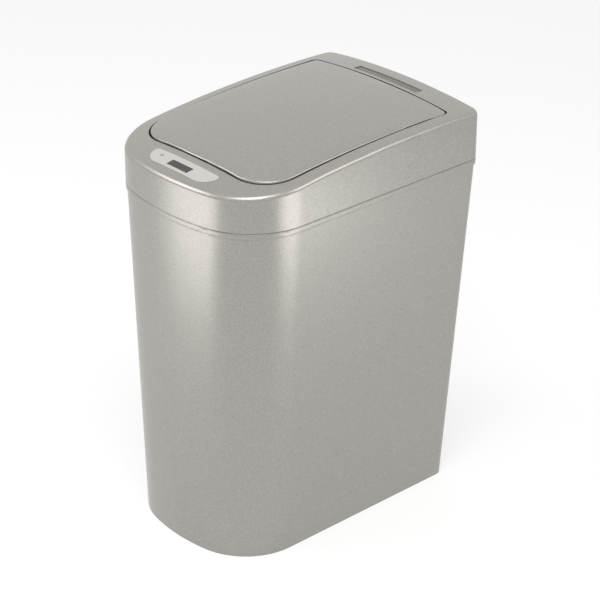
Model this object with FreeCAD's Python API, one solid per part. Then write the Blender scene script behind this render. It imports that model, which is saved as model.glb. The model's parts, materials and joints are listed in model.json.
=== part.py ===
import FreeCAD, Part
import math
import os

# A small bathroom bin with a sensor lid. Millimetres, +Z up, front towards -Y.
# The origin is on the floor, under the middle of the rim.
from FreeCAD import Vector

# Bucket
WIDTH = 170.0            # across the rim
DEPTH = 242.2            # front to back at the rim
BUCKET_HEIGHT = 280.7    # floor to the joint with the head
BUCKET_WALL = 2.0
BAND_HEIGHT = 4.8        # plain band round the mouth
BAND_PROUD = 1.1         # band outside the tapered wall
SIDE_TAPER = 12.6        # each side, rim to foot
FRONT_TAPER = 4.5
BACK_TAPER = 14.0
FRONT_BOW = 199.5        # radius of the bowed front at the rim
FRONT_CORNER = 55.7
FOOT_FRONT_CORNER = 51.5
BACK_CORNER = 9.0
FOOT_BACK_CORNER = 10.0
FOOT_RIM = 5.0           # width of the rim that the bucket stands on
FOOT_RECESS = 3.0        # floor held clear of the ground
FLOOR = 2.2

# Head
HEAD_SIDE = 39.15        # joint to the crown's line along the bin's sides
COVER_WALL = 2.2
CROWN_ACROSS = 675.0     # radius of the crown seen from the front
CROWN_ALONG = 1132.0     # radius of the crown seen from the side
CROWN_PEAK = 53.0        # highest line, in front of the back face
TOP_EDGE = 3.6           # radius of the outer top edge
JOINT_EDGE = 0.5         # chamfer where head and bucket meet

# Lid and its opening
SIDE_MARGIN = 10.5       # cover beside the opening
FRONT_LAND = 31.1        # cover in front of the opening
LID_GAP = 1.3            # at the front and sides
SEAM_GAP = 0.4           # at the rear edge, kept over the whole swing
FRONT_ROUND = 30.0       # front corners of the opening
REAR_ROUND = 4.5         # rear corners of the opening
LID_THICK = 9.0          # at its sides
LID_WALL = 2.2
LID_EDGE = 1.1           # chamfer of the lid's top edge
LID_PROUD = 1.6          # lid above the cover at its front edge
LINER = 1.8
LID_TAIL = 15.0          # lid behind its hinge axis
HINGE_BELOW = 6.85       # hinge axis below the crown's line along the sides
NOTCH_WIDTH = 20.0       # finger notch under the lid's front edge
NOTCH_DEPTH = 4.5
NOTCH_LIP = 1.7          # lid left above the notch
COLLAR_WALL = 1.8        # wall hanging round the opening
COLLAR_DEPTH = 9.4
PIN_RADIUS = 2.5
EAR_RADIUS = 4.6
EAR_LENGTH = 12.0
BUFFER_RADIUS = 2.6
BUFFER_INSET = 12.0      # from the lid's front and sides
RUNNING_FIT = 0.05
SEAT_GAP = 0.3
SNUG_FIT = 0.2

# Lid drive
MODULE = 1.0
LID_TEETH = 34
PINION_TEETH = 12
PRESSURE_ANGLE = math.radians(20.0)
MESH_ANGLE = -80.0       # line from the hinge axis to the pinion
BACKLASH = 0.16
GEAR_WIDTH = 3.0
SECTOR_START = -97.0
SECTOR_END = 13.0
PINION_SHAFT = 2.0       # radius
SHAFT_IN_BOX = 8.0       # pinion shaft inside the gearbox
GEARBOX_LENGTH = 20.0
GEARBOX_DEPTH = 31.0
GEARBOX_COVER = 4.0
GEARBOX_FRONT_SHARE = 0.6  # of its depth in front of the pinion
GEARBOX_ROUND = 2.0
MOTOR_LENGTH = 25.0
MOTOR_RADIUS = 10.0
MOTOR_FLAT = 15.4        # across the two flats
MOTOR_BOSS = 3.0         # radius of the bearing boss
MOTOR_END = 2.0          # boss and tags beyond the can
TAG_SPACING = 12.0
TAG_WIDTH = 2.4
TAG_THICK = 0.6

# Lower frame
PLATE = 2.0
FRAME_WALL = 1.8
CHUTE_STEP = 8.5         # chute inside the lid opening
CHUTE_DROP = 8.0         # chute below the joint
SPIGOT_DROP = 10.0       # ring that centres the head in the bucket
SPIGOT_GAP = 0.8
POST_GAP = 0.7           # bearing posts outside the opening
POST_WALL = 2.5
POST_DEPTH = 14.0
TUB_DROP = 8.2           # gearbox tub below the joint

# Batteries, door and switch
CELL_RADIUS = 7.1
CELL_LENGTH = 50.5
CELL_GAP = 0.4
TRAY_WALL = 1.2
CELL_NUB = 2.75          # radius of the raised pole
CELL_NUB_LENGTH = 1.2
CONTACT_ROOM = 4.0
CONTACT_PLATE = 0.5
CONTACT_SIDE = 10.0      # of the square plate
LEAF_WIDTH = 4.0         # bowed leaf on the plate
LEAF_HEIGHT = 8.0
DOOR_CORNER = 3.0
DOOR_GAP = 0.3
DOOR_SILL = 3.5          # skirt left below the door
DOOR_BEHIND = 2.5        # between the tray and the back wall
THUMB_RADIUS = 9.0       # scoop at the top of the door
THUMB_DEPTH = 1.4
DOOR_TAB = 11.0          # width of the two tabs that hook behind the sill
DOOR_TAB_X = 35.4
DOOR_TAB_DROP = 0.9
DOOR_TAB_RISE = 2.5
DOOR_TAB_THICK = 1.6
TONGUE_WIDTH = 10.0      # latch tongue behind the scoop
TONGUE_HEIGHT = 7.5
SWITCH_BESIDE = 0.4      # switch beside the tray
SWITCH_RISE = 20.0       # above the joint
SWITCH_TRAVEL = 3.6
KNOB_WIDTH = 3.4
KNOB_HEIGHT = 4.0
KNOB_SUNK = 0.4          # behind the back face
KNOB_GROOVE = 0.5
SWITCH_DEPTH = 6.5
SWITCH_SLOT = 4.0        # depth of the knob's slot
SWITCH_WALL = 1.0

# Sensor panel and rear inlay
PANEL_HALF = 35.5
PANEL_BACK_HALF = 32.3
PANEL_FRONT_HALF = 22.0
PANEL_DRAW_IN = 4.0      # ends drawn in, a quarter of the way back
PANEL_SETBACK = 9.7      # front edge behind the bin's front
PANEL_DEPTH = 15.0
PANEL_THICK = 1.0
PANEL_PROUD = 0.15
WINDOW_HALF = 11.4
WINDOW_DEPTH = 6.7
WINDOW_SETBACK = 12.7
LENS_X = -24.1
LENS_SETBACK = 19.0
LENS_RADIUS = 1.3
BOARD_HALF = 31.0
BOARD_DEPTH = 17.0
BOARD_THICK = 1.6
BOARD_DROP = 12.6        # board below the cover over the window
CLIP_HALF = 4.0          # clips that hold the board's ends
CLIP_THICK = 1.5
CLIP_REST = 3.0          # board under each clip's rest
DIODE_RADIUS = 2.5
DIODE_HEIGHT = 8.1
DIODE_SPACING = 11.0
LED_RADIUS = 1.5
LED_HEIGHT = 5.3
INLAY_HALF = 34.4
INLAY_DEPTH = 7.2
INLAY_SETBACK = 14.0     # rear edge in front of the bin's back
INLAY_THICK = 0.6
INLAY_RECESS = 1.1

# Snap legs between cover and lower frame
SNAP_WIDTH = 8.0
SNAP_THICK = 3.0
SNAP_HOOK = 1.2
SNAP_HOOK_HEIGHT = 1.6
FRONT_SNAP_IN = 26.5     # front legs inside the opening's sides
FRONT_SNAP_AHEAD = 10.0  # and ahead of its front
REAR_SNAP_OUT = 10.3     # rear legs outside the tray's ends
REAR_SNAP_AHEAD = 11.5   # and ahead of its back

# Derived places
FRONT = -DEPTH / 2
BACK = DEPTH / 2
JOINT = BUCKET_HEIGHT
CROWN_RISE = WIDTH ** 2 / (8 * CROWN_ACROSS)  # middle of the crown above that line
HEAD_HEIGHT = HEAD_SIDE + CROWN_RISE
PEAK_Z = JOINT + HEAD_HEIGHT
PEAK_Y = BACK - CROWN_PEAK
TALL = PEAK_Z + 40.0
OPENING_HALF = WIDTH / 2 - SIDE_MARGIN
OPENING_FRONT = FRONT + FRONT_LAND
LID_HALF = OPENING_HALF - LID_GAP
LID_FRONT = OPENING_FRONT + LID_GAP
HINGE_DROP = HINGE_BELOW + CROWN_RISE
HINGE_Z = PEAK_Z - HINGE_DROP
SWEEP = math.hypot(LID_TAIL, HINGE_DROP)
SIDE_DROP = LID_HALF ** 2 / (2 * CROWN_ACROSS)
LID_FLOOR = LID_THICK + SIDE_DROP
COLLAR_FLOOR = COLLAR_DEPTH + SIDE_DROP
FLANGE_TOP = COLLAR_FLOOR + SNUG_FIT
TRAY_DEPTH = TRAY_WALL + 2 * CELL_RADIUS + CELL_GAP
TRAY_BACK = BACK - COVER_WALL - DOOR_BEHIND
TRAY_FRONT = TRAY_BACK - TRAY_DEPTH
HINGE_Y = TRAY_FRONT - SWEEP - SEAM_GAP - SEAT_GAP
LID_REAR = HINGE_Y + LID_TAIL
PLATE_LOW = JOINT + SEAT_GAP
PLATE_TOP = PLATE_LOW + PLATE
X_AXIS = Vector(1, 0, 0)
Z_AXIS = Vector(0, 0, 1)


class Plan:
    """Outline of the bin from above: straight sides and back, a bowed front, four round corners."""

    def __init__(self, half, front, back, bow, front_corner, back_corner):
        self.half, self.front, self.back = half, front, back
        self.bow, self.front_corner, self.back_corner = bow, front_corner, back_corner

    def inset(self, by):
        smallest = 0.5
        return Plan(self.half - by, self.front + by, self.back - by, self.bow - by,
                    self.front_corner - by, max(self.back_corner - by, smallest))

    def right_half(self):
        """Points down the right side, from the back edge to the middle of the front."""
        r, q = self.front_corner, self.back_corner
        bow_y = self.front + self.bow
        reach = self.bow - r
        centre_y = bow_y - math.sqrt(reach ** 2 - (self.half - r) ** 2)
        lean = math.atan2(self.half - r, bow_y - centre_y)
        middle = (math.pi / 2 - lean) / 2 + lean
        corner = lambda angle: (self.half - r + r * math.sin(angle), centre_y - r * math.cos(angle))
        diagonal = q * (1 - math.sqrt(0.5))
        return [(self.half - q, self.back), (self.half - diagonal, self.back - diagonal),
                (self.half, self.back - q), (self.half, centre_y), corner(middle), corner(lean),
                (0.0, self.front)]

    def wire(self, z):
        right = [Vector(x, y, z) for x, y in self.right_half()]
        left = [Vector(-p.x, p.y, z) for p in right]
        edges = [Part.LineSegment(left[0], right[0]), Part.Arc(right[0], right[1], right[2]),
                 Part.LineSegment(right[2], right[3]), Part.Arc(right[3], right[4], right[5]),
                 Part.Arc(right[5], right[6], left[5]), Part.Arc(left[5], left[4], left[3]),
                 Part.LineSegment(left[3], left[2]), Part.Arc(left[2], left[1], left[0])]
        return Part.Wire([edge.toShape() for edge in edges])

    def prism(self, low, high):
        return Part.Face(self.wire(low)).extrude(Vector(0, 0, high - low))


RIM = Plan(WIDTH / 2, FRONT, BACK, FRONT_BOW, FRONT_CORNER, BACK_CORNER)
MOUTH = RIM.inset(BAND_PROUD)


def foot_plan():
    """Outline at the floor; its corners span the same angles as the rim's, so the wall has no twist."""
    half = WIDTH / 2 - SIDE_TAPER
    lean = (RIM.half - RIM.front_corner) / (RIM.bow - RIM.front_corner)
    bow = FOOT_FRONT_CORNER + (half - FOOT_FRONT_CORNER) / lean
    return Plan(half, FRONT + FRONT_TAPER, BACK - BACK_TAPER, bow, FOOT_FRONT_CORNER, FOOT_BACK_CORNER)


FOOT = foot_plan()


def taper(low_plan, low, high_plan, high):
    return Part.makeLoft([low_plan.wire(low), high_plan.wire(high)], True, True)


def block(x, y, z):
    """A box from three (low, high) pairs."""
    return Part.makeBox(x[1] - x[0], y[1] - y[0], z[1] - z[0], Vector(x[0], y[0], z[0]))


def rod(radius, start, end):
    """A round bar between two points."""
    way = end - start
    return Part.makeCylinder(radius, way.Length, start, way)


def cross_rod(radius, x, y, z):
    return rod(radius, Vector(x[0], y, z), Vector(x[1], y, z))


def upright(radius, x, y, z):
    return rod(radius, Vector(x, y, z[0]), Vector(x, y, z[1]))


def both_sides(shape):
    return [shape, shape.mirror(Vector(0, 0, 0), X_AXIS)]


def rounded_prism(half, front, back, front_round, back_round, z):
    """Upright prism on a rectangle with one radius at its front corners and one at its rear."""
    solid = block((-half, half), (front, back), z)
    for y, radius in ((front, front_round), (back, back_round)):
        corners = [edge for edge in solid.Edges if upright_edge(edge, y)]
        solid = solid.makeFillet(radius, corners)
    return solid


def upright_edge(edge, y):
    ends = [vertex.Point for vertex in edge.Vertexes]
    same_y = all(abs(point.y - y) < 1e-6 for point in ends)
    return same_y and abs(ends[0].x - ends[-1].x) < 1e-6


def under_crown(depth):
    """Everything below the crowned top, taken this far below its surface."""
    across = WIDTH ** 2 / (2 * CROWN_ACROSS)
    along = DEPTH ** 2 / (2 * CROWN_ALONG)
    crown = Part.BezierSurface()
    crown.increase(2, 2)
    for i in (-1, 0, 1):
        for j in (-1, 0, 1):
            rise = (1 - 2 * abs(i)) * across + (1 - 2 * abs(j)) * along
            crown.setPole(i + 2, j + 2, Vector(i * WIDTH, PEAK_Y + j * DEPTH, PEAK_Z - depth + rise))
    return crown.toShape().extrude(Vector(0, 0, JOINT - TALL - HEAD_HEIGHT))


def under_profile(depth):
    """Everything below the crown's side profile, straight across: the undersides that don't show."""
    bottom = Vector(-WIDTH, PEAK_Y, PEAK_Z - depth - CROWN_ALONG)
    return Part.makeCylinder(CROWN_ALONG, 2 * WIDTH, bottom, X_AXIS)


def tip_up(solid):
    """Turns the lid's surfaces about its rear edge, so that its front stands proud of the cover."""
    rise = math.degrees(math.atan2(LID_PROUD, LID_REAR - LID_FRONT))
    solid.rotate(Vector(0, LID_REAR, PEAK_Z), X_AXIS, -rise)
    return solid


def lid_crown(depth):
    return tip_up(under_crown(depth))


def lid_profile(depth):
    return tip_up(under_profile(depth))


def layer(prism, upper, lower, surface=under_crown):
    """The part of a prism between two depths below a surface."""
    return prism.common(surface(upper)).cut(surface(lower))


def crown_height(x, y):
    return PEAK_Z - x ** 2 / (2 * CROWN_ACROSS) - (y - PEAK_Y) ** 2 / (2 * CROWN_ALONG)


def high_edges(solid, height):
    """Edges that lie wholly above a height."""
    return [edge for edge in solid.Edges if edge.BoundBox.ZMin > height]


def round_in_steps(solid, radius, height):
    """Rounds the edges above a height in three flats, far lighter than a rolled fillet on the crown."""
    wide, narrow = math.tan(math.pi / 8), math.tan(math.pi / 16)
    solid = solid.makeChamfer(radius * (2 - math.sqrt(2)), high_edges(solid, height))
    ends = 4 * radius * wide
    lengthwise = [edge for edge in high_edges(solid, height) if edge.Length > ends]
    return solid.makeChamfer(radius * (wide - narrow), lengthwise)


def bucket():
    band_low = JOINT - BAND_HEIGHT
    outer = taper(FOOT, 0, MOUTH, band_low)
    outer = outer.fuse(RIM.prism(band_low, JOINT))
    hollow = taper(FOOT.inset(BUCKET_WALL), 0, MOUTH.inset(BUCKET_WALL), band_low)
    inside_floor = FOOT_RECESS + FLOOR
    hollow = hollow.common(block((-WIDTH, WIDTH), (-DEPTH, DEPTH), (inside_floor, JOINT)))
    mouth = MOUTH.inset(BUCKET_WALL).prism(band_low, JOINT)
    recess = FOOT.inset(FOOT_RIM).prism(0, FOOT_RECESS)
    solid = outer.cut(hollow).cut(mouth).cut(recess).removeSplitter()
    outer_rim = [edge for edge in solid.Edges if on_rim(edge)]
    return solid.makeChamfer(JOINT_EDGE, outer_rim)


def on_rim(edge):
    """True for the band's outer edges, at its top and its bottom."""
    box = edge.BoundBox
    heights = (JOINT, JOINT - BAND_HEIGHT)
    level = box.ZLength < 1e-6 and min(abs(box.ZMin - height) for height in heights) < 1e-6
    middle = edge.valueAt((edge.FirstParameter + edge.LastParameter) / 2)
    to_rim = RIM.wire(box.ZMin).distToShape(Part.Vertex(middle))[0]
    return level and to_rim < 1e-3


def opening_prism(grow, low, high):
    return rounded_prism(OPENING_HALF + grow, OPENING_FRONT - grow, LID_REAR + grow,
                         FRONT_ROUND + grow, REAR_ROUND + grow, (low, high))


def lid_prism(inset, low, high):
    smallest = 0.8
    rear_round = max(REAR_ROUND - LID_GAP - inset, smallest)
    return rounded_prism(LID_HALF - inset, LID_FRONT + inset, LID_REAR - inset,
                         FRONT_ROUND - LID_GAP - inset, rear_round, (low, high))


def lid_swing():
    """Room that the lid's rear edge sweeps as it opens: a barrel about the hinge axis."""
    def reach(x, tail):
        return math.hypot(tail, crown_height(x, LID_REAR) - HINGE_Z) + SEAM_GAP
    point = lambda x, radius: Vector(x, HINGE_Y, HINGE_Z + radius)
    turn = OPENING_HALF - REAR_ROUND
    cut_in = REAR_ROUND * (1 - math.sqrt(0.5))
    shoulder = point(turn, reach(turn, LID_TAIL))
    knee = point(OPENING_HALF - cut_in, reach(OPENING_HALF - cut_in, LID_TAIL - cut_in))
    waist = point(OPENING_HALF, reach(OPENING_HALF, LID_TAIL - REAR_ROUND))
    flip = lambda p: Vector(-p.x, p.y, p.z)
    axis_right, axis_left = point(OPENING_HALF, 0), point(-OPENING_HALF, 0)
    edges = [Part.Arc(flip(shoulder), point(0, reach(0, LID_TAIL)), shoulder).toShape(),
             Part.Arc(shoulder, knee, waist).toShape(), Part.makeLine(waist, axis_right),
             Part.makeLine(axis_right, axis_left), Part.makeLine(axis_left, flip(waist)),
             Part.Arc(flip(waist), flip(knee), flip(shoulder)).toShape()]
    return Part.Face(Part.Wire(edges)).revolve(axis_left, X_AXIS, 360)


WINDOW_FRONT = FRONT + WINDOW_SETBACK
WINDOW_Y = WINDOW_FRONT + WINDOW_DEPTH / 2
LENS_Y = FRONT + LENS_SETBACK
BOARD_Z = crown_height(0, WINDOW_Y) - BOARD_DROP
INLAY_BACK = BACK - INLAY_SETBACK
DOOR_LOW = JOINT + DOOR_SILL
TRAY_HALF = CELL_LENGTH + CONTACT_ROOM + TRAY_WALL
CELL_PITCH = 2 * CELL_RADIUS + CELL_GAP + TRAY_WALL
TRAY_TOP = PLATE_TOP + 2 * CELL_PITCH + TRAY_WALL
DOOR_HALF = CELL_LENGTH + CONTACT_ROOM
DOOR_HIGH = TRAY_TOP - TRAY_WALL
SWITCH_X = TRAY_HALF + SWITCH_BESIDE + KNOB_WIDTH / 2 + SWITCH_WALL
SWITCH_Z = JOINT + SWITCH_RISE
FRAME_SNAPS = [(OPENING_HALF - FRONT_SNAP_IN, OPENING_FRONT - FRONT_SNAP_AHEAD),
               (TRAY_HALF + REAR_SNAP_OUT, TRAY_BACK - REAR_SNAP_AHEAD)]


def panel_prism(grow, low, high):
    """The boat-shaped panel: straight back edge, short ends and a front that draws in."""
    front = FRONT + PANEL_SETBACK
    back = front + PANEL_DEPTH
    corner = PANEL_HALF - PANEL_BACK_HALF
    end = back - corner
    diagonal = corner * math.sqrt(0.5)
    right = [Vector(PANEL_BACK_HALF, back, low),
             Vector(PANEL_BACK_HALF + diagonal, end + diagonal, low), Vector(PANEL_HALF, end, low),
             Vector(PANEL_HALF - PANEL_DRAW_IN, front + PANEL_DEPTH / 4, low),
             Vector(PANEL_FRONT_HALF, front, low)]
    left = [Vector(-p.x, p.y, p.z) for p in right]
    edges = [Part.LineSegment(left[0], right[0]), Part.Arc(right[0], right[1], right[2]),
             Part.Arc(right[2], right[3], right[4]), Part.LineSegment(right[4], left[4]),
             Part.Arc(left[4], left[3], left[2]), Part.Arc(left[2], left[1], left[0])]
    wire = Part.Wire([edge.toShape() for edge in edges])
    if grow:
        wire = wire.makeOffset2D(grow)
    return Part.Face(wire).extrude(Vector(0, 0, high - low))


def window_prism(grow, low, high):
    half = WINDOW_HALF + grow
    return block((-half, half), (WINDOW_FRONT - grow, WINDOW_FRONT + WINDOW_DEPTH + grow), (low, high))


def inlay_prism(grow, low, high):
    half = INLAY_HALF + grow
    return block((-half, half), (INLAY_BACK - INLAY_DEPTH - grow, INLAY_BACK + grow), (low, high))


def door_block(grow, y):
    """The battery door's outline, rounded at its corners, between two depths."""
    solid = block((-DOOR_HALF - grow, DOOR_HALF + grow), y, (DOOR_LOW - grow, DOOR_HIGH + grow))
    corners = [edge for edge in solid.Edges if edge.BoundBox.YLength > 0.9 * (y[1] - y[0])]
    return solid.makeFillet(DOOR_CORNER, corners)


def head_cover():
    outer = RIM.prism(JOINT, TALL).common(under_crown(0))
    outer = round_in_steps(outer, TOP_EDGE, JOINT + BAND_HEIGHT)
    foot_edges = [edge for edge in outer.Edges if edge.BoundBox.ZMax < JOINT + 1e-6]
    outer = outer.makeChamfer(JOINT_EDGE, foot_edges)
    inner = RIM.inset(COVER_WALL).prism(JOINT, TALL).common(under_crown(COVER_WALL))
    shell = outer.cut(inner)
    collar = opening_prism(COLLAR_WALL, JOINT, TALL).common(
        block((-WIDTH, WIDTH), (FRONT, HINGE_Y - POST_DEPTH), (JOINT, TALL)))
    collar = collar.common(under_crown(COVER_WALL / 2)).cut(under_profile(COLLAR_FLOOR))
    shell = shell.fuse(collar)
    shell = shell.fuse(frame_snaps() + both_sides(board_clip()))
    shell = shell.cut(opening_prism(0, JOINT, TALL)).cut(lid_swing())
    shell = shell.cut(layer(panel_prism(SNUG_FIT, JOINT, TALL), -COVER_WALL, PANEL_THICK))
    shell = shell.cut(window_prism(-SNUG_FIT, JOINT, TALL))
    shell = shell.cut(upright(LENS_RADIUS + SNUG_FIT, LENS_X, LENS_Y, (JOINT, TALL)))
    shell = shell.cut(layer(inlay_prism(SNUG_FIT, JOINT, TALL), -COVER_WALL, INLAY_RECESS))
    through_back = (BACK - 2 * COVER_WALL, BACK + COVER_WALL)
    return shell.cut(door_block(DOOR_GAP, through_back)).cut(switch_slot(through_back))


def switch_slot(y):
    """Room for the switch's knob over its travel, between two depths."""
    half = KNOB_WIDTH / 2 + SEAT_GAP
    rise = (SWITCH_TRAVEL + KNOB_HEIGHT) / 2 + SEAT_GAP
    return block((SWITCH_X - half, SWITCH_X + half), y, (SWITCH_Z - rise, SWITCH_Z + rise))


def frame_snaps():
    """Legs under the cover that pass through the frame's plate and hook behind it."""
    solids = []
    catch = PLATE_LOW - SEAT_GAP
    low = catch - SNAP_HOOK_HEIGHT
    for x, y in FRAME_SNAPS:
        wide, face = (x - SNAP_WIDTH / 2, x + SNAP_WIDTH / 2), y + SNAP_THICK / 2
        leg = block(wide, (face - SNAP_THICK, face), (low, TALL)).common(under_crown(COVER_WALL / 2))
        solids += both_sides(leg.fuse(block(wide, (face, face + SNAP_HOOK), (low, catch))))
    return solids


def snap_slot(x, y):
    """Slot in the plate for a leg, with room behind it to spring back as its hook passes."""
    half, rise = SNAP_WIDTH / 2 + SNUG_FIT, SNAP_THICK / 2 + SNUG_FIT
    return block((x - half, x + half), (y - rise - SNAP_HOOK, y + rise), (PLATE_LOW, PLATE_TOP))


def board_clip():
    """Clip under the cover that rests on one end of the sensor board and hooks under it."""
    end = BOARD_HALF + SNUG_FIT
    across = (WINDOW_Y - CLIP_HALF, WINDOW_Y + CLIP_HALF)
    catch = BOARD_Z - SEAT_GAP
    rest = block((BOARD_HALF - CLIP_REST, end + CLIP_THICK), across, (BOARD_Z + BOARD_THICK, TALL))
    leg = block((end, end + CLIP_THICK), across, (catch - CLIP_THICK, TALL))
    hook = block((BOARD_HALF - CLIP_REST / 2, end), across, (catch - CLIP_THICK, catch))
    return rest.fuse([leg, hook]).common(under_crown(COVER_WALL / 2))


CHUTE_HALF = OPENING_HALF - CHUTE_STEP
CHUTE_FRONT = OPENING_FRONT + CHUTE_STEP
CHUTE_REAR = HINGE_Y - SWEEP - FRAME_WALL - SEAM_GAP
CHUTE_ROUND = FRONT_ROUND - CHUTE_STEP
POST_X = (OPENING_HALF + POST_GAP, OPENING_HALF + POST_GAP + POST_WALL)
GEAR_X = (POST_X[1] + SEAT_GAP, POST_X[1] + SEAT_GAP + GEAR_WIDTH)
PINION_REACH = MODULE * (LID_TEETH + PINION_TEETH) / 2
PINION_Y = HINGE_Y + PINION_REACH * math.cos(math.radians(MESH_ANGLE))
PINION_Z = HINGE_Z + PINION_REACH * math.sin(math.radians(MESH_ANGLE))
TUB_FLOOR = JOINT - TUB_DROP + FRAME_WALL
GEARBOX_X = (POST_X[0] - FRAME_WALL - GEARBOX_LENGTH, POST_X[0] - FRAME_WALL)
GEARBOX_FRONT = PINION_Y - GEARBOX_FRONT_SHARE * GEARBOX_DEPTH
GEARBOX_Y = (GEARBOX_FRONT, GEARBOX_FRONT + GEARBOX_DEPTH)
GEARBOX_TOP = PINION_Z + PINION_SHAFT + FRAME_WALL
MOTOR_X = (GEARBOX_X[0] - MOTOR_LENGTH, GEARBOX_X[0])
MOTOR_Y = GEARBOX_FRONT + MOTOR_RADIUS + SEAT_GAP
MOTOR_Z = TUB_FLOOR + MOTOR_FLAT / 2 + SNUG_FIT


def chute_prism(grow, low, high):
    return rounded_prism(CHUTE_HALF + grow, CHUTE_FRONT - grow, CHUTE_REAR + grow,
                         CHUTE_ROUND + grow, REAR_ROUND + grow, (low, high))


def lower_frame():
    plate = RIM.inset(COVER_WALL + SEAT_GAP).prism(PLATE_LOW, PLATE_TOP)
    spigot_plan = MOUTH.inset(BUCKET_WALL + SPIGOT_GAP)
    spigot = spigot_plan.prism(JOINT - SPIGOT_DROP, PLATE_LOW)
    spigot = spigot.cut(spigot_plan.inset(FRAME_WALL).prism(JOINT - SPIGOT_DROP, PLATE_LOW))
    tube = chute_prism(FRAME_WALL, JOINT - CHUTE_DROP, TALL).common(under_profile(FLANGE_TOP))
    flange = opening_prism(COLLAR_WALL, JOINT, TALL)
    flange = layer(flange, FLANGE_TOP, FLANGE_TOP + FRAME_WALL, under_profile)
    flange = flange.common(block((-WIDTH, WIDTH), (FRONT, CHUTE_REAR + FRAME_WALL), (JOINT, TALL)))
    frame = plate.fuse([spigot, tube, flange] + frame_posts() + [tub_walls()])
    frame = frame.cut(chute_prism(0, JOINT - 2 * CHUTE_DROP, TALL)).cut(tub_room())
    frame = frame.cut(cross_rod(PINION_SHAFT + RUNNING_FIT, POST_X, PINION_Y, PINION_Z))
    holes = both_sides(cross_rod(PIN_RADIUS + RUNNING_FIT, POST_X, HINGE_Y, HINGE_Z))
    for x, y in FRAME_SNAPS:
        holes += both_sides(snap_slot(x, y))
    for hole in holes:
        frame = frame.cut(hole)
    return frame.removeSplitter()


def frame_posts():
    """Bearing posts beside the lid, round at their tops, with a foot on the plate."""
    half = POST_DEPTH / 2
    cheek = block(POST_X, (HINGE_Y - half, HINGE_Y + half), (PLATE_LOW, HINGE_Z - EAR_RADIUS))
    neck = block(POST_X, (HINGE_Y - EAR_RADIUS, HINGE_Y + EAR_RADIUS), (PLATE_LOW, HINGE_Z))
    crown = cross_rod(EAR_RADIUS, POST_X, HINGE_Y, HINGE_Z)
    return both_sides(cheek.fuse([neck, crown]))


def tub_room():
    """Space in the tub for the motor and gearbox, open at the top."""
    return block((MOTOR_X[0] - MOTOR_END, POST_X[0]),
                 (CHUTE_REAR + 2 * FRAME_WALL, TRAY_FRONT - FRAME_WALL), (TUB_FLOOR, PLATE_TOP))


def tub_walls():
    room = tub_room().BoundBox
    return block((room.XMin - FRAME_WALL, POST_X[1]), (room.YMin - FRAME_WALL, room.YMax + FRAME_WALL),
                 (TUB_FLOOR - FRAME_WALL, PLATE_TOP))


def lid_panel():
    blank = lid_prism(0, JOINT, TALL).common(lid_crown(0))
    blank = blank.makeChamfer(LID_EDGE, high_edges(blank, JOINT + BAND_HEIGHT))
    blank = blank.cut(lid_profile(LID_FLOOR))
    hollow = lid_prism(LID_WALL, JOINT, TALL).common(lid_crown(LID_WALL))
    panel = blank.cut(hollow).fuse(lid_ears())
    panel = panel.cut(notch_block().common(lid_crown(NOTCH_LIP)))
    for bore in both_sides(cross_rod(PIN_RADIUS, (LID_HALF - EAR_LENGTH, LID_HALF), HINGE_Y, HINGE_Z)):
        panel = panel.cut(bore)
    return panel.removeSplitter()


def notch_block():
    half = NOTCH_WIDTH / 2
    return block((-half, half), (LID_FRONT - LID_GAP, LID_FRONT + NOTCH_DEPTH), (JOINT, TALL))


def lid_ears():
    """Lugs inside the lid's sides that carry its hinge pins."""
    x = (LID_HALF - EAR_LENGTH, LID_HALF)
    lug = cross_rod(EAR_RADIUS, x, HINGE_Y, HINGE_Z)
    web = block(x, (HINGE_Y - EAR_RADIUS, HINGE_Y + EAR_RADIUS), (HINGE_Z, TALL))
    return both_sides(lug.fuse(web.common(lid_crown(LID_WALL / 2))))


def lid_liner():
    """Flat-moulded liner that snaps into the lid's underside, cut out round the ears and the notch."""
    liner = layer(lid_prism(LID_WALL + SNUG_FIT, JOINT, TALL), LID_FLOOR - LINER, LID_FLOOR, lid_profile)
    clear = EAR_RADIUS + SNUG_FIT
    ear_x = (LID_HALF - EAR_LENGTH - SNUG_FIT, LID_HALF)
    ear_bay = block(ear_x, (HINGE_Y - clear, HINGE_Y + clear), (JOINT, TALL))
    for room in both_sides(ear_bay) + [notch_block()]:
        liner = liner.cut(room)
    return liner


def lid_rise(y):
    """How far the closed lid stands above the cover's crown."""
    return LID_PROUD * (LID_REAR - y) / (LID_REAR - LID_FRONT)


def lid_buffers():
    """Soft pads on the frame's flange, under the lid's front corners."""
    x, y = LID_HALF - BUFFER_INSET, LID_FRONT + BUFFER_INSET
    pad = upright(BUFFER_RADIUS, x, y, (JOINT, TALL))
    return both_sides(layer(pad, LID_FLOOR - lid_rise(y) + SEAT_GAP, FLANGE_TOP, under_profile))


def polar(radius, angle):
    return Vector(0, radius * math.cos(angle), radius * math.sin(angle))


def tooth_half_angle(teeth, radius):
    pitch = MODULE * teeth / 2
    base = pitch * math.cos(PRESSURE_ANGLE)
    involute = lambda angle: math.tan(angle) - angle
    slope = math.acos(min(base / radius, 1.0))
    return math.pi / (2 * teeth) - BACKLASH / (2 * pitch) + involute(PRESSURE_ANGLE) - involute(slope)


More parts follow.
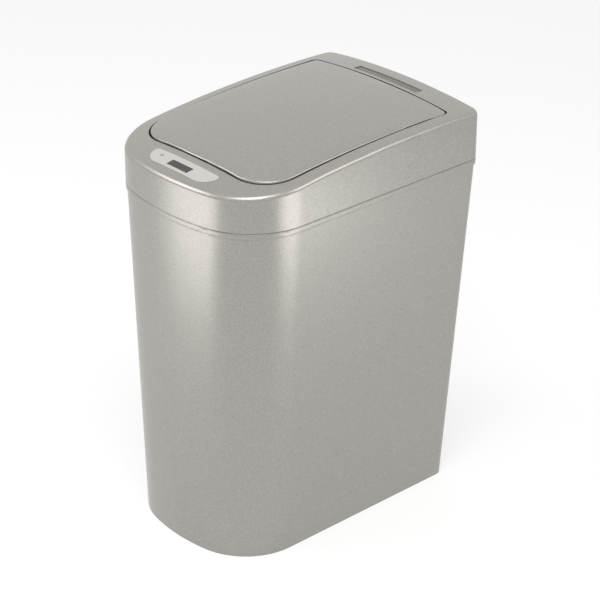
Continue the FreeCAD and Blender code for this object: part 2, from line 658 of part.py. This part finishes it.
def gear(teeth, phase, x):
    """A spur gear along X about the origin, with one tooth centred on the phase angle."""
    pitch = MODULE * teeth / 2
    tip, root = pitch + MODULE, pitch - 1.25 * MODULE
    start = max(pitch * math.cos(PRESSURE_ANGLE), root)
    radii = [start, (start + tip) / 2, tip]
    edges, last = [], None
    for index in range(teeth):
        centre = math.radians(phase) + 2 * math.pi * index / teeth
        up = [polar(r, centre - tooth_half_angle(teeth, r)) for r in radii]
        down = [polar(r, centre + tooth_half_angle(teeth, r)) for r in reversed(radii)]
        foot = [polar(root, centre + side * tooth_half_angle(teeth, start)) for side in (-1, 1)]
        if last:
            edges.append(Part.makeLine(last, foot[0]))
        else:
            first = foot[0]
        if start > root:
            edges.append(Part.makeLine(foot[0], up[0]))
        edges += Part.makePolygon(up + down).Edges
        if start > root:
            edges.append(Part.makeLine(down[2], foot[1]))
        last = foot[1]
    edges.append(Part.makeLine(last, first))
    solid = Part.Face(Part.Wire(edges)).extrude(Vector(x[1] - x[0], 0, 0))
    solid.translate(Vector(x[0], 0, 0))
    return solid


def wedge(start, end, radius, x):
    """A slice of a disc along X, between two angles in degrees."""
    steps = [math.radians(start + (end - start) * k / 4) for k in range(5)]
    points = [Vector(0, 0, 0)] + [polar(radius, angle) for angle in steps] + [Vector(0, 0, 0)]
    solid = Part.Face(Part.makePolygon(points)).extrude(Vector(x[1] - x[0], 0, 0))
    solid.translate(Vector(x[0], 0, 0))
    return solid


def lid_gear():
    whole = gear(LID_TEETH, MESH_ANGLE, GEAR_X)
    sector = whole.common(wedge(SECTOR_START, SECTOR_END, MODULE * LID_TEETH, GEAR_X))
    solid = sector.fuse(cross_rod(EAR_RADIUS, GEAR_X, 0, 0)).cut(cross_rod(PIN_RADIUS, GEAR_X, 0, 0))
    solid.translate(Vector(0, HINGE_Y, HINGE_Z))
    return solid.removeSplitter()


def drive_pinion():
    gap_to_hinge = MESH_ANGLE + 180.0 + 180.0 / PINION_TEETH
    solid = gear(PINION_TEETH, gap_to_hinge, GEAR_X)
    solid = solid.fuse(cross_rod(PINION_SHAFT, (GEARBOX_X[1] - SHAFT_IN_BOX, GEAR_X[1] + SEAT_GAP), 0, 0))
    solid.translate(Vector(0, PINION_Y, PINION_Z))
    return solid


def hinge_pin():
    return cross_rod(PIN_RADIUS, (-POST_X[1] - SEAT_GAP, -LID_HALF + EAR_LENGTH), HINGE_Y, HINGE_Z)


def drive_shaft():
    return cross_rod(PIN_RADIUS, (LID_HALF - EAR_LENGTH, GEAR_X[1] + SEAT_GAP), HINGE_Y, HINGE_Z)


def gearbox_block(x):
    solid = block(x, GEARBOX_Y, (TUB_FLOOR, GEARBOX_TOP))
    long_edges = [edge for edge in solid.Edges if edge.BoundBox.XLength > 0.9 * (x[1] - x[0])]
    return solid.makeFillet(GEARBOX_ROUND, long_edges)


def shaft_bore():
    depth = SHAFT_IN_BOX + SEAT_GAP
    return cross_rod(PINION_SHAFT + RUNNING_FIT, (GEARBOX_X[1] - depth, GEARBOX_X[1]), PINION_Y, PINION_Z)


def gearbox_case():
    return gearbox_block((GEARBOX_X[0], GEARBOX_X[1] - GEARBOX_COVER)).cut(shaft_bore())


def gearbox_cover():
    return gearbox_block((GEARBOX_X[1] - GEARBOX_COVER, GEARBOX_X[1])).cut(shaft_bore())


def motor():
    """A flat-sided can motor, with a bearing boss and two solder tags on its free end."""
    end = (MOTOR_X[0], MOTOR_X[0] + MOTOR_END)
    can = cross_rod(MOTOR_RADIUS, (end[1], MOTOR_X[1]), MOTOR_Y, MOTOR_Z)
    flats = block(MOTOR_X, (MOTOR_Y - MOTOR_RADIUS, MOTOR_Y + MOTOR_RADIUS),
                  (MOTOR_Z - MOTOR_FLAT / 2, MOTOR_Z + MOTOR_FLAT / 2))
    fittings = [cross_rod(MOTOR_BOSS, end, MOTOR_Y, MOTOR_Z)]
    for y in (MOTOR_Y - TAG_SPACING / 2, MOTOR_Y + TAG_SPACING / 2):
        fittings.append(block(end, (y - TAG_WIDTH / 2, y + TAG_WIDTH / 2),
                              (MOTOR_Z - TAG_THICK / 2, MOTOR_Z + TAG_THICK / 2)))
    return can.common(flats).fuse(fittings)


def battery_tray():
    tray = block((-TRAY_HALF, TRAY_HALF), (TRAY_FRONT, TRAY_BACK), (PLATE_TOP, TRAY_TOP))
    inside = TRAY_HALF - TRAY_WALL
    for level in (0, 1):
        low = PLATE_TOP + TRAY_WALL + level * CELL_PITCH
        tray = tray.cut(block((-inside, inside), (TRAY_FRONT + TRAY_WALL, TRAY_BACK),
                              (low, low + CELL_PITCH - TRAY_WALL)))
    return tray


def cell_places():
    """Middle of each row of cells, in y and z, and the way that its poles face."""
    y = TRAY_FRONT + TRAY_WALL + CELL_GAP / 2 + CELL_RADIUS
    for level in (0, 1):
        low = PLATE_TOP + TRAY_WALL + level * CELL_PITCH
        yield y, low + CELL_GAP / 2 + CELL_RADIUS, 1 - 2 * level


def battery_cells():
    """Four AA cells, two in a row on each level, the levels facing opposite ways."""
    solids = []
    for y, z, way in cell_places():
        for start in (-CELL_LENGTH, 0.0):
            end = start + CELL_LENGTH
            can = cross_rod(CELL_RADIUS, (start, end - CELL_NUB_LENGTH), y, z)
            cell = can.fuse(cross_rod(CELL_NUB, (end - CELL_NUB_LENGTH, end), y, z))
            if way < 0:
                cell.rotate(Vector(0, y, z), Z_AXIS, 180)
            solids.append(cell)
    return solids


def battery_contacts():
    """Sheet-metal contacts at the tray's ends, each with a bowed leaf that presses on its cell."""
    solids = []
    for y, z, way in cell_places():
        for side in (-1, 1):
            wall = side * (TRAY_HALF - TRAY_WALL)
            flat = wall - side * CONTACT_PLATE
            tip = side * (CELL_LENGTH + SNUG_FIT)
            half, rise, leaf_y = CONTACT_SIDE / 2, LEAF_HEIGHT / 2, y - LEAF_WIDTH / 2
            plate = block(sorted((wall, flat)), (y - half, y + half), (z - half, z + half))
            bow = [Vector(flat, leaf_y, z - rise), Vector(tip, leaf_y, z), Vector(flat, leaf_y, z + rise)]
            arch = Part.Wire([Part.Arc(*bow).toShape(), Part.makeLine(bow[2], bow[0])])
            solids.append(plate.fuse(Part.Face(arch).extrude(Vector(0, LEAF_WIDTH, 0))))
    return solids


def battery_door():
    """Snap-in door in the back: two tabs hook behind the sill and a tongue holds the top."""
    inner = BACK - COVER_WALL
    scoop_y = BACK + THUMB_RADIUS - THUMB_DEPTH
    scoop = rod(THUMB_RADIUS, Vector(0, scoop_y, DOOR_HIGH - THUMB_RADIUS), Vector(0, scoop_y, DOOR_HIGH))
    door = door_block(0, (inner, BACK)).cut(scoop)
    tab = block((DOOR_TAB_X - DOOR_TAB / 2, DOOR_TAB_X + DOOR_TAB / 2), (inner - DOOR_TAB_THICK, inner),
                (DOOR_LOW - DOOR_TAB_DROP, DOOR_LOW + DOOR_TAB_RISE))
    tab = tab.cut(block((0, DOOR_HALF), (inner - SEAT_GAP, inner), (JOINT, DOOR_LOW)))
    tongue = block((-TONGUE_WIDTH / 2, TONGUE_WIDTH / 2), (inner - DOOR_TAB_THICK, inner),
                   (DOOR_HIGH - TONGUE_HEIGHT, DOOR_HIGH))
    return door.fuse(both_sides(tab) + [tongue])


def switch_body():
    inner = BACK - COVER_WALL
    half = KNOB_WIDTH / 2 + SWITCH_WALL
    rise = (SWITCH_TRAVEL + KNOB_HEIGHT) / 2 + SWITCH_WALL
    case = block((SWITCH_X - half, SWITCH_X + half), (inner - SWITCH_DEPTH, inner),
                 (SWITCH_Z - rise, SWITCH_Z + rise))
    return case.cut(switch_slot((inner - SWITCH_SLOT, inner)))


def switch_knob():
    """The sliding knob, at the off end of its slot, with two grip grooves."""
    half, rise, z = KNOB_WIDTH / 2, KNOB_HEIGHT / 2, SWITCH_Z - SWITCH_TRAVEL / 2
    across = (SWITCH_X - half, SWITCH_X + half)
    y = (BACK - COVER_WALL - SWITCH_SLOT + SEAT_GAP, BACK - KNOB_SUNK)
    knob = block(across, y, (z - rise, z + rise))
    groove = KNOB_GROOVE / 2
    for middle in (z - rise / 2, z + rise / 2):
        knob = knob.cut(block(across, (y[1] - KNOB_GROOVE, y[1]), (middle - groove, middle + groove)))
    return knob


def control_panel():
    panel = layer(panel_prism(0, JOINT, TALL), -PANEL_PROUD, PANEL_THICK)
    panel = panel.cut(window_prism(SNUG_FIT / 2, JOINT, TALL))
    return panel.cut(upright(LENS_RADIUS + SNUG_FIT / 2, LENS_X, LENS_Y, (JOINT, TALL)))


def sensor_window():
    """Dark infra-red window: a flush face and a spigot down through the cover."""
    face = layer(window_prism(0, JOINT, TALL), -PANEL_PROUD / 2, PANEL_THICK)
    return face.fuse(layer(window_prism(-2 * SNUG_FIT, JOINT, TALL), PANEL_THICK / 2, COVER_WALL))


def status_lens():
    foot = BOARD_Z + BOARD_THICK + LED_HEIGHT + SNUG_FIT
    return upright(LENS_RADIUS, LENS_X, LENS_Y, (foot, TALL)).common(under_crown(-PANEL_PROUD))


def sensor_board():
    return block((-BOARD_HALF, BOARD_HALF), (WINDOW_Y - BOARD_DEPTH / 2, WINDOW_Y + BOARD_DEPTH / 2),
                 (BOARD_Z, BOARD_Z + BOARD_THICK))


def lamp(radius, height, x, y):
    """A round LED package standing on the board."""
    foot = BOARD_Z + BOARD_THICK
    return upright(radius, x, y, (foot, foot + height))


def infrared_diodes():
    return both_sides(lamp(DIODE_RADIUS, DIODE_HEIGHT, DIODE_SPACING / 2, WINDOW_Y))


def status_led():
    return lamp(LED_RADIUS, LED_HEIGHT, LENS_X, LENS_Y)


def rear_inlay():
    return layer(inlay_prism(0, JOINT, TALL), INLAY_RECESS - INLAY_THICK, INLAY_RECESS)


PIECES = [bucket, head_cover, lower_frame, lid_buffers, control_panel, sensor_window, status_lens,
          sensor_board, infrared_diodes, status_led, rear_inlay, battery_tray, battery_cells, battery_contacts,
          battery_door, switch_body, switch_knob, motor, gearbox_case, gearbox_cover, drive_pinion, lid_panel,
          lid_liner, lid_gear, drive_shaft, hinge_pin]


def export(piece):
    made = piece()
    shape = Part.makeCompound(made) if isinstance(made, list) else made
    shape.exportStep("parts/%s.step" % piece.__name__)


os.makedirs("parts", exist_ok=True)
for piece in PIECES:
    export(piece)
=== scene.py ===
import json
import math

import bmesh
import bpy
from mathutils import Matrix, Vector

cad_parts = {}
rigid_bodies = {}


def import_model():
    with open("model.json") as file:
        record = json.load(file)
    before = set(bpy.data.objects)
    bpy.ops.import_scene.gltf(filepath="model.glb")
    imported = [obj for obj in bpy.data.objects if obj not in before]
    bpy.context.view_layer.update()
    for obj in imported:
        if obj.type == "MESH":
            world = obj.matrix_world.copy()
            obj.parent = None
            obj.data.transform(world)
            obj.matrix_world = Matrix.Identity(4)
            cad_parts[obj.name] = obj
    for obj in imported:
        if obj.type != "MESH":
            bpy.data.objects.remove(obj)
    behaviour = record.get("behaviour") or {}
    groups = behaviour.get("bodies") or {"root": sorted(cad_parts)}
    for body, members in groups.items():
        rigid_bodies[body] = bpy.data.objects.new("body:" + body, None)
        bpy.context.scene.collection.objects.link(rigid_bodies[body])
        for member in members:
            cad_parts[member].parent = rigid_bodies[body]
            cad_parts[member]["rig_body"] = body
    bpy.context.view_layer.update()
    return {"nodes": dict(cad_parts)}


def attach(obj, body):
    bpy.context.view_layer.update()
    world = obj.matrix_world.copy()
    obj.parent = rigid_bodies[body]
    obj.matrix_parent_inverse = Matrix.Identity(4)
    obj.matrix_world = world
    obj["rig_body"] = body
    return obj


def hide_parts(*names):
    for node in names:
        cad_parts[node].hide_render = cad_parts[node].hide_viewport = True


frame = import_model()


# Bucket: the tapered waste bucket with a plain band round its mouth.
# Injection-moulded ABS, sprayed with champagne-silver metallic paint under a satin clear coat.
# It stands on the rim round its recessed floor, and the head drops into its mouth.
def linear(code):
    """An sRGB hex colour as linear RGBA."""
    parts = [int(code[i:i + 2], 16) / 255 for i in (1, 3, 5)]
    return [c / 12.92 if c <= 0.04045 else ((c + 0.055) / 1.055) ** 2.4 for c in parts] + [1.0]


def add(material, kind, links=(), **settings):
    """Adds a node, sets its sockets and properties by name, and links (socket, output) pairs to it."""
    node = material.node_tree.nodes.new(kind)
    for name, value in settings.items():
        socket = node.inputs.get(name.replace("_", " "))
        if socket is not None and not hasattr(node, name):
            socket.default_value = value
        else:
            setattr(node, name, value)
    for socket, output in links:
        material.node_tree.links.new(output, node.inputs[socket])
    return node


def new_material(name):
    """An empty node material with a Principled shader, and that shader."""
    material = bpy.data.materials.new(name)
    material.use_nodes = True
    return material, material.node_tree.nodes["Principled BSDF"]


def smooth_copy(node, material, sharp=math.radians(50)):
    """A merged copy of a CAD node that shades smoothly over its facets and small chamfers."""
    source = frame["nodes"][node]
    mesh = bmesh.new()
    mesh.from_mesh(source.data)
    bmesh.ops.remove_doubles(mesh, verts=mesh.verts, dist=1e-6)
    for face in mesh.faces:
        face.smooth = True
        face.material_index = 0
    for edge in mesh.edges:
        edge.smooth = edge.calc_face_angle(0.0) < sharp
    data = bpy.data.meshes.new(node + "_finish")
    mesh.to_mesh(data)
    mesh.free()
    data.materials.append(material)
    piece = bpy.data.objects.new(node + "_finish", data)
    bpy.context.scene.collection.objects.link(piece)
    piece.modifiers.new("even_shading", "WEIGHTED_NORMAL").keep_sharp = True
    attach(piece, source["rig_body"])
    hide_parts(node)
    return piece


# Metallic paint reads as a satin metal: flakes give a soft broad gloss and a faint sparkle.
# Real flake is about 0.05 mm; it is drawn at 0.9 mm, so that its grain shows at this distance.
FLAKE = 0.0009
PAINT_MOTTLE = 0.03
silver_paint, shader = new_material("champagne_silver_paint_on_abs")
place = add(silver_paint, "ShaderNodeTexCoord")
flake = add(silver_paint, "ShaderNodeTexNoise", [("Vector", place.outputs["Object"])],
            Scale=1 / FLAKE, Detail=2.0, Roughness=0.6)
mottle = add(silver_paint, "ShaderNodeTexNoise", [("Vector", place.outputs["Object"])],
             Scale=1 / PAINT_MOTTLE, Detail=3.0)
tone = add(silver_paint, "ShaderNodeValToRGB", [("Fac", flake.outputs["Fac"])])
tone.color_ramp.elements[0].position = 0.3
tone.color_ramp.elements[0].color = linear("#989590")
tone.color_ramp.elements[1].position = 0.7
tone.color_ramp.elements[1].color = linear("#aeaba6")
satin = add(silver_paint, "ShaderNodeMapRange", [("Value", mottle.outputs["Fac"])],
            To_Min=0.30, To_Max=0.32)
grain = add(silver_paint, "ShaderNodeBump", [("Height", flake.outputs["Fac"])], Strength=0.06, Distance=0.0002)
silver_paint.node_tree.links.new(tone.outputs["Color"], shader.inputs["Base Color"])
silver_paint.node_tree.links.new(satin.outputs["Result"], shader.inputs["Roughness"])
silver_paint.node_tree.links.new(grain.outputs["Normal"], shader.inputs["Normal"])
shader.inputs["Metallic"].default_value = 0.9

bucket = smooth_copy("bucket", silver_paint)


# Head cover: the crowned cover with the lid opening, seated on the bucket's mouth.
# The same painted ABS, moulded in one piece with the snap legs and board clips inside it.
head_cover = smooth_copy("head_cover", silver_paint)


# Lower frame: plate, chute, bearing posts and gearbox tub that close the head from below.
# Polypropylene, moulded in a spark-eroded tool and snapped to the cover; it reads as matte with a fine even grain.
# Real tool grain is about 0.05 mm; it is drawn at 0.6 mm or more, so that it shows at this distance.
MOULDED_SHARP = math.radians(30)


def moulded(name, low, high, rough, grit, depth):
    """A moulded plastic: two close tones, a roughness, and a tool grain of grit metres and that bump depth."""
    material, shader = new_material(name)
    place = add(material, "ShaderNodeTexCoord")
    grain = add(material, "ShaderNodeTexNoise", [("Vector", place.outputs["Object"])],
                Scale=1 / grit, Detail=3.0, Roughness=0.55)
    tone = add(material, "ShaderNodeValToRGB", [("Fac", grain.outputs["Fac"])])
    tone.color_ramp.elements[0].position = 0.35
    tone.color_ramp.elements[0].color = linear(low)
    tone.color_ramp.elements[1].position = 0.65
    tone.color_ramp.elements[1].color = linear(high)
    bump = add(material, "ShaderNodeBump", [("Height", grain.outputs["Fac"])], Strength=depth, Distance=0.0002)
    worn = add(material, "ShaderNodeMapRange", [("Value", grain.outputs["Fac"])],
               To_Min=rough - 0.05, To_Max=rough + 0.05)
    material.node_tree.links.new(tone.outputs["Color"], shader.inputs["Base Color"])
    material.node_tree.links.new(worn.outputs["Result"], shader.inputs["Roughness"])
    material.node_tree.links.new(bump.outputs["Normal"], shader.inputs["Normal"])
    return material


grey_polypropylene = moulded("grey_moulded_polypropylene", "#4b4b4d", "#545456", 0.55, 0.0008, 0.15)
lower_frame = smooth_copy("lower_frame", grey_polypropylene, MOULDED_SHARP)


# Lid buffers: two soft pads stuck on the frame's flange, where the closed lid rests.
# Die-cut EVA foam, matte and slightly open at the surface.
eva_foam = moulded("die_cut_eva_foam", "#2d2d2e", "#39393a", 0.85, 0.0006, 0.35)
smooth_copy("lid_buffers", eva_foam, MOULDED_SHARP)


# Sensor board with its two infra-red diodes and the status lamp, clipped up under the window.
# The board is glass epoxy under a glossy green lacquer, with a weave that barely shows.
# The diodes are cast in smoked epoxy, dark and shiny, and the lamp in frosted epoxy, pale and dull.
board_lacquer = moulded("lacquered_glass_epoxy_board", "#1c5430", "#23623a", 0.35, 0.0012, 0.05)
smoked_epoxy = moulded("smoked_epoxy", "#1d1a1b", "#262324", 0.15, 0.002, 0.02)
frosted_epoxy = moulded("frosted_epoxy", "#b9bbb8", "#c8cac6", 0.4, 0.0008, 0.05)
for node, material, slot in (("sensor_board", board_lacquer, "board"),
                             ("infrared_diodes", smoked_epoxy, "dark_window"),
                             ("status_led", frosted_epoxy, "lens_plastic")):
    smooth_copy(node, material, MOULDED_SHARP)


# Control panel, sensor window and status lens: the boat-shaped face in front of the lid.
# The face is polycarbonate film, printed pale and satin on the back, and glued into the cover.
# The window is polished smoked acrylic, dark with a clear gloss, and the lens is frosted acrylic, grey and dull.
printed_film = moulded("pale_printed_polycarbonate_film", "#c8c4c1", "#d0ccc9", 0.45, 0.0009, 0.04)
smoked_acrylic = moulded("smoked_acrylic", "#302c2a", "#383432", 0.22, 0.004, 0.01)
frosted_acrylic = moulded("frosted_acrylic", "#8d8a88", "#9b9896", 0.4, 0.0008, 0.05)
for node, material, slot in (("control_panel", printed_film, "panel_film"),
                             ("sensor_window", smoked_acrylic, "dark_window"),
                             ("status_lens", frosted_acrylic, "lens_plastic")):
    smooth_copy(node, material, MOULDED_SHARP)


# Rear inlay: the narrow strip let into the cover behind the lid.
# Rolled aluminium, brushed along its length, lacquered and glued in, so the gloss is drawn out across it.
# Real brush strokes are about 0.1 mm apart; they are drawn at 0.6 mm, so that they show at this distance.
BRUSH_PITCH = 0.0006
STROKE_STRETCH = (0.03, 1.0, 1.0)
brushed_aluminium, shader = new_material("brushed_aluminium_strip")
place = add(brushed_aluminium, "ShaderNodeTexCoord")
drawn = add(brushed_aluminium, "ShaderNodeMapping", [("Vector", place.outputs["Object"])])
drawn.inputs["Scale"].default_value = STROKE_STRETCH
strokes = add(brushed_aluminium, "ShaderNodeTexNoise", [("Vector", drawn.outputs["Vector"])],
              Scale=1 / BRUSH_PITCH, Detail=2.0)
tone = add(brushed_aluminium, "ShaderNodeValToRGB", [("Fac", strokes.outputs["Fac"])])
tone.color_ramp.elements[0].color = linear("#74716d")
tone.color_ramp.elements[1].color = linear("#8b8883")
scratch = add(brushed_aluminium, "ShaderNodeBump", [("Height", strokes.outputs["Fac"])],
              Strength=0.1, Distance=0.0001)
brushed_aluminium.node_tree.links.new(tone.outputs["Color"], shader.inputs["Base Color"])
brushed_aluminium.node_tree.links.new(scratch.outputs["Normal"], shader.inputs["Normal"])
shader.inputs["Metallic"].default_value = 1.0
shader.inputs["Roughness"].default_value = 0.4
frame["nodes"]["rear_inlay"].material_slots[0].material = brushed_aluminium


# Battery tray, cells, contacts and door: four AA cells in two rows behind the lid.
# The tray is matte black moulded ABS, and the cells are steel in a glossy dark shrink sleeve.
# The contacts are bent from bright nickel-plated spring steel, and the painted door hooks into its sill.
black_abs = moulded("black_moulded_abs", "#151516", "#1d1d1e", 0.5, 0.0008, 0.12)
frame["nodes"]["battery_tray"].material_slots[0].material = black_abs
sleeve_film = moulded("shrink_sleeve_film", "#2c3034", "#363a3f", 0.25, 0.003, 0.02)
smooth_copy("battery_cells", sleeve_film, MOULDED_SHARP)


def plated_metal(name, low, high, rough, cloud):
    """A plated or drawn metal whose tone and gloss cloud slightly over that distance."""
    material, shader = new_material(name)
    place = add(material, "ShaderNodeTexCoord")
    haze = add(material, "ShaderNodeTexNoise", [("Vector", place.outputs["Object"])],
               Scale=1 / cloud, Detail=4.0)
    tone = add(material, "ShaderNodeValToRGB", [("Fac", haze.outputs["Fac"])])
    tone.color_ramp.elements[0].color = linear(low)
    tone.color_ramp.elements[1].color = linear(high)
    gloss = add(material, "ShaderNodeMapRange", [("Value", haze.outputs["Fac"])],
                To_Min=rough - 0.06, To_Max=rough + 0.06)
    material.node_tree.links.new(tone.outputs["Color"], shader.inputs["Base Color"])
    material.node_tree.links.new(gloss.outputs["Result"], shader.inputs["Roughness"])
    shader.inputs["Metallic"].default_value = 1.0
    return material


nickel_plate = plated_metal("nickel_plated_spring_steel", "#aba69c", "#c9c4ba", 0.25, 0.003)
smooth_copy("battery_contacts", nickel_plate, MOULDED_SHARP)
smooth_copy("battery_door", silver_paint, MOULDED_SHARP)


# Power switch: a slide switch in the back, its knob sunk in a slot beside the door.
# Both are the tray's matte black moulded ABS; the knob carries two grip grooves.
for node in ("switch_body", "switch_knob"):
    frame["nodes"][node].material_slots[0].material = black_abs


# Motor and gearbox: a flat-sided can motor in front of a sealed reduction box, in the frame's tub.
# The can is drawn steel under zinc plate, a cool metal that clouds over a few millimetres.
# The case, its cover and the pinion are natural moulded acetal, a waxy off-white.
zinc_plate = plated_metal("zinc_plated_steel", "#a3a4a6", "#c2c3c4", 0.3, 0.003)
smooth_copy("motor", zinc_plate, MOULDED_SHARP)
natural_acetal = moulded("natural_moulded_acetal", "#d9d6cc", "#e2dfd6", 0.35, 0.0012, 0.04)
for node in ("gearbox_case", "gearbox_cover", "drive_pinion"):
    smooth_copy(node, natural_acetal, MOULDED_SHARP)


# Lid: the flush panel with a finger notch, its liner, and the toothed sector that lifts it.
# Painted ABS outside, with a snapped-in liner of matte grey polypropylene and an acetal gear.
# It turns on a shaft and a pin of ground steel, which has a tight bright gloss.
lid_panel = smooth_copy("lid_panel", silver_paint)
smooth_copy("lid_liner", grey_polypropylene, MOULDED_SHARP)
smooth_copy("lid_gear", natural_acetal, MOULDED_SHARP)
ground_steel = plated_metal("ground_steel_rod", "#9b9b9d", "#b9b9ba", 0.22, 0.002)
for node in ("drive_shaft", "hinge_pin"):
    smooth_copy(node, ground_steel, MOULDED_SHARP)


# Stage: a plain white floor, which keeps the bin's soft shadow, under a pale world.
# Both are as white in the paint's reflections as they are to the camera.
FLOOR_HALF = 6.0
FLOOR_WHITE = 0.55
WHITE = (1.0, 1.0, 1.0, 1.0)
floor_paper, shader = new_material("white_floor_paper")
shader.inputs["Base Color"].default_value = linear("#c8c8c8")
shader.inputs["Roughness"].default_value = 0.9


def seen_rays(owner):
    """1 for camera, glossy and transmission rays, and 0 for the rays that light the object."""
    rays = add(owner, "ShaderNodeLightPath")
    seen = add(owner, "ShaderNodeMath", [(0, rays.outputs["Is Camera Ray"]), (1, rays.outputs["Is Glossy Ray"])],
               operation="MAXIMUM")
    return add(owner, "ShaderNodeMath", [(0, seen.outputs[0]), (1, rays.outputs["Is Transmission Ray"])],
               operation="MAXIMUM")


glow = add(floor_paper, "ShaderNodeMapRange", [("Value", seen_rays(floor_paper).outputs[0])],
           To_Min=0.0, To_Max=FLOOR_WHITE)
shader.inputs["Emission Color"].default_value = WHITE
floor_paper.node_tree.links.new(glow.outputs["Result"], shader.inputs["Emission Strength"])
sheet = bmesh.new()
bmesh.ops.create_grid(sheet, x_segments=1, y_segments=1, size=FLOOR_HALF)
floor_data = bpy.data.meshes.new("floor")
sheet.to_mesh(floor_data)
sheet.free()
floor_data.materials.append(floor_paper)
floor = bpy.data.objects.new("floor", floor_data)
bpy.context.scene.collection.objects.link(floor)

SKY_LEVEL = 0.5
world = bpy.data.worlds.new("pale_studio")
world.use_nodes = True
world.node_tree.nodes["Background"].inputs["Color"].default_value = WHITE
sky = add(world, "ShaderNodeMapRange", [("Value", seen_rays(world).outputs[0])], To_Min=SKY_LEVEL, To_Max=1.0)
world.node_tree.links.new(sky.outputs["Result"], world.node_tree.nodes["Background"].inputs["Strength"])
bpy.context.scene.world = world


# Lights: two round light panels flat on the floor, which the walls mirror, and three softboxes.
# One softbox is above the camera, and those at the left and right light the rounded edges.
BIN_MIDDLE = Vector((0.0, 0.0, 0.1635))


def direction(azimuth, elevation):
    """Unit vector from the bin; azimuth 0 is the front, 90 the right side."""
    a, e = math.radians(azimuth), math.radians(elevation)
    return Vector((math.sin(a) * math.cos(e), -math.cos(a) * math.cos(e), math.sin(e)))


def light_panel(name, place, facing, diameter, power):
    """A round area lamp of that diameter in metres and power in watts, hidden from the camera."""
    data = bpy.data.lights.new(name, "AREA")
    data.shape = "DISK"
    data.size, data.energy = diameter, power
    lamp = bpy.data.objects.new(name, data)
    lamp.location = place
    lamp.rotation_euler = (-facing).to_track_quat("Z", "Y").to_euler()
    lamp.visible_camera = False
    bpy.context.scene.collection.objects.link(lamp)


UP = Vector((0.0, 0.0, 1.0))
PANEL_HEIGHT = 0.01
# Name, azimuth, distance, diameter and power of the floor panels; the softboxes have an elevation as well.
FLOOR_PANELS = (("panel_front_left", -20, 0.8, 0.6, 1.4),
                ("panel_right", 105, 0.73, 0.52, 1.35))
SOFTBOXES = (("softbox_overhead", 44, 62, 1.4, 0.8, 6.0),
             ("softbox_left", -38, 36, 1.4, 0.8, 4.0),
             ("softbox_right", 118, 40, 0.9, 0.4, 0.9))
for name, azimuth, distance, diameter, power in FLOOR_PANELS:
    light_panel(name, direction(azimuth, 0) * distance + UP * PANEL_HEIGHT, UP, diameter, power)
for name, azimuth, elevation, distance, diameter, power in SOFTBOXES:
    away = direction(azimuth, elevation)
    light_panel(name, BIN_MIDDLE + away * distance, -away, diameter, power)


# Camera: at the photograph's angle, with a long lens from 1.8 m.
# A small shift puts the bin where it is in the photograph's frame.
CAMERA_AZIMUTH = 48.2
CAMERA_ELEVATION = 27.56
CAMERA_DISTANCE = 1.7563
camera_data = bpy.data.cameras.new("camera")
camera_data.lens = 134.9
camera_data.sensor_width = 36.0
camera_data.shift_x = 0.0196
camera_data.shift_y = 0.0059
camera = bpy.data.objects.new("camera", camera_data)
toward = direction(CAMERA_AZIMUTH, CAMERA_ELEVATION)
camera.location = BIN_MIDDLE + toward * CAMERA_DISTANCE
camera.rotation_euler = toward.to_track_quat("Z", "Y").to_euler()
bpy.context.scene.collection.objects.link(camera)
bpy.context.scene.camera = camera
bpy.context.scene.view_settings.view_transform = "Standard"
